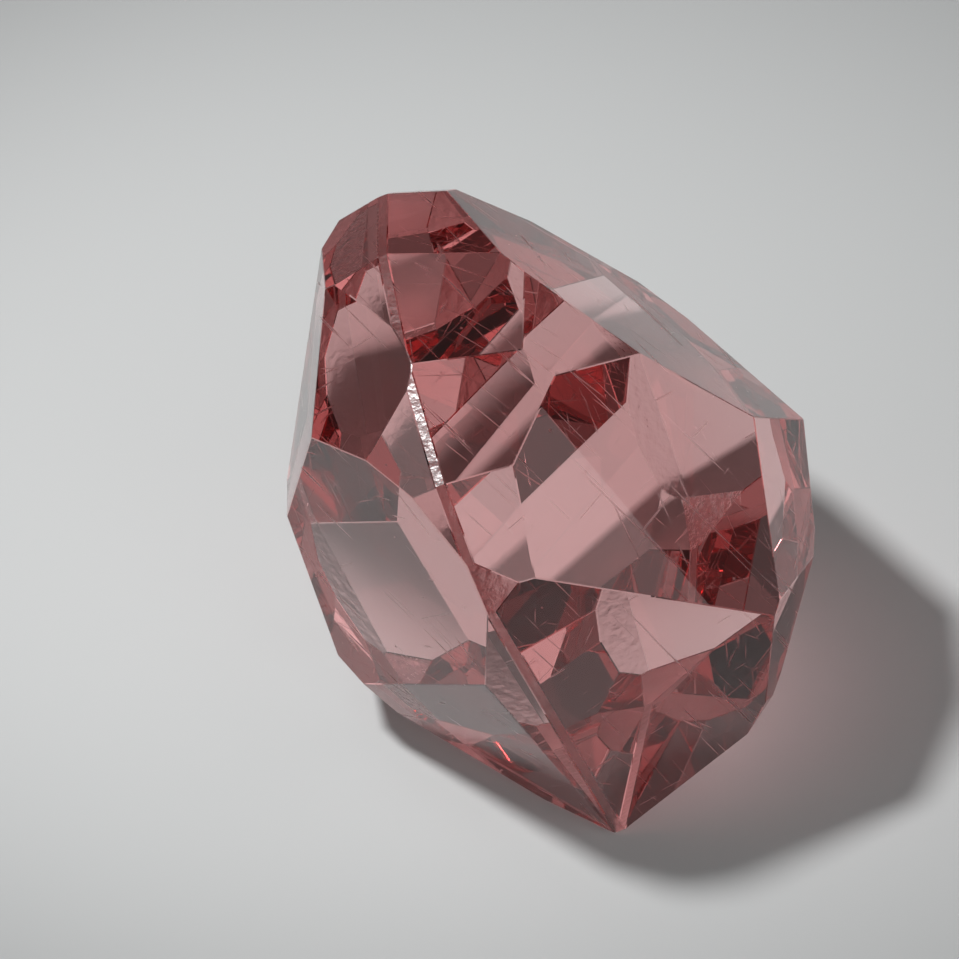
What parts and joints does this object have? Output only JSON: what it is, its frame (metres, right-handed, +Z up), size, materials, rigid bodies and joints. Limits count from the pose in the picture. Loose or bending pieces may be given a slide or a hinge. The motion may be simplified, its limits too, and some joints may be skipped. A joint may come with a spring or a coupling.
{
  "type": "cut garnet",
  "caption": "Drop-shaped faceted garnet, one clear reddish-brown stone with flat facets, lying tilted on a crown facet beside its point.",
  "frame": {"origin": "bottom centre of the stone's bounding box, on the surface that it lies on", "axes": "+Z up, with the resting facet facing -Z; -Y is the front, where the side seen in the picture faces; the stone's point lies low on the front right"},
  "size_m": [0.007, 0.0074, 0.0069],
  "materials": {
    "garnet_crystal": "polished, clear rose-brown to deep red, with fine scratches and a frosted girdle"
  },
  "bodies": {
    "root": {"garnet": "garnet_crystal"}
  },
  "joints": []
}
